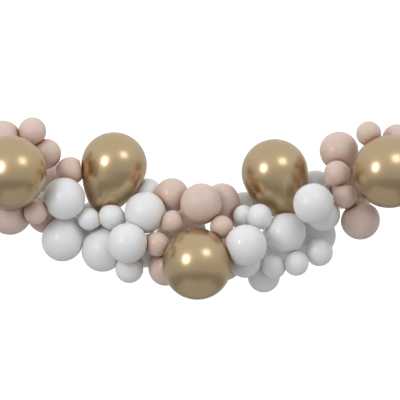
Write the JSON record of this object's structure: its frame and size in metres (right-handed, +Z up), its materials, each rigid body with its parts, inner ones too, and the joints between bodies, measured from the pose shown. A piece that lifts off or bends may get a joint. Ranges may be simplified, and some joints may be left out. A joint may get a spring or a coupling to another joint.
{
  "type": "balloon garland",
  "caption": "Hanging swag of white, blush and chrome gold latex balloons in mixed sizes, tied to a clear perforated tape with a hook hole at each end.",
  "frame": {"origin": "on the back face of the tape's left tab, at the spot where the garland is hung", "axes": "+X to the right along the swag, +Z up, the front of the garland faces -Y"},
  "size_m": [2.2282, 0.5944, 0.7318],
  "materials": {
    "chrome_gold_latex": "mirror-like metallic film",
    "blush_latex": "satin film",
    "white_latex": "satin film",
    "clear_tape": "clear and glossy"
  },
  "bodies": {
    "root": {"gold_left_top": "chrome_gold_latex", "gold_right_top": "chrome_gold_latex", "blush_left_back": "blush_latex", "white_left_back": "white_latex", "white_left_back_upper": "white_latex", "blush_middle_back": "blush_latex", "white_right_back": "white_latex", "white_right_back_middle": "white_latex", "blush_right_back": "blush_latex", "blush_left_back_upper": "blush_latex", "white_right_upper": "white_latex", "white_right_behind": "white_latex", "blush_left_top_large": "blush_latex", "blush_left_low_large": "blush_latex", "blush_left_small_2": "blush_latex", "blush_left_small_3": "blush_latex", "blush_left_small_1": "blush_latex", "blush_left_small_4": "blush_latex", "white_left_low_1": "white_latex", "white_left_low_back": "white_latex", "white_left_1": "white_latex", "white_left_2": "white_latex", "white_left_small_1": "white_latex", "white_left_small_2": "white_latex", "white_left_small_3": "white_latex", "blush_middle_low_left": "blush_latex", "blush_middle_low_right": "blush_latex", "blush_middle_left": "blush_latex", "white_left_3": "white_latex", "blush_middle_small_1": "blush_latex", "white_left_4": "white_latex", "blush_middle_right": "blush_latex", "white_right_upper_back": "white_latex", "blush_middle_top": "blush_latex", "blush_middle_small_2": "blush_latex", "blush_middle_small_3": "blush_latex", "gold_middle": "chrome_gold_latex", "white_right_low_1": "white_latex", "white_right_low_2": "white_latex", "white_right_small_1": "white_latex", "white_right_small_2": "white_latex", "white_right_1": "white_latex", "white_right_2": "white_latex", "white_right_small_3": "white_latex", "white_right_3": "white_latex", "white_right_small_5": "white_latex", "white_right_small_4": "white_latex", "blush_right_top": "blush_latex", "blush_right_small_1": "blush_latex", "blush_right_low": "blush_latex", "blush_right_small_2": "blush_latex", "blush_far_left_upper": "blush_latex", "blush_far_left_lower": "blush_latex", "blush_far_right_upper": "blush_latex", "blush_far_right_lower": "blush_latex", "gold_left_end": "chrome_gold_latex", "gold_right_end": "chrome_gold_latex", "blush_right_top_small": "blush_latex", "blush_right_small_3": "blush_latex", "balloon_tape": "clear_tape"}
  },
  "joints": []
}
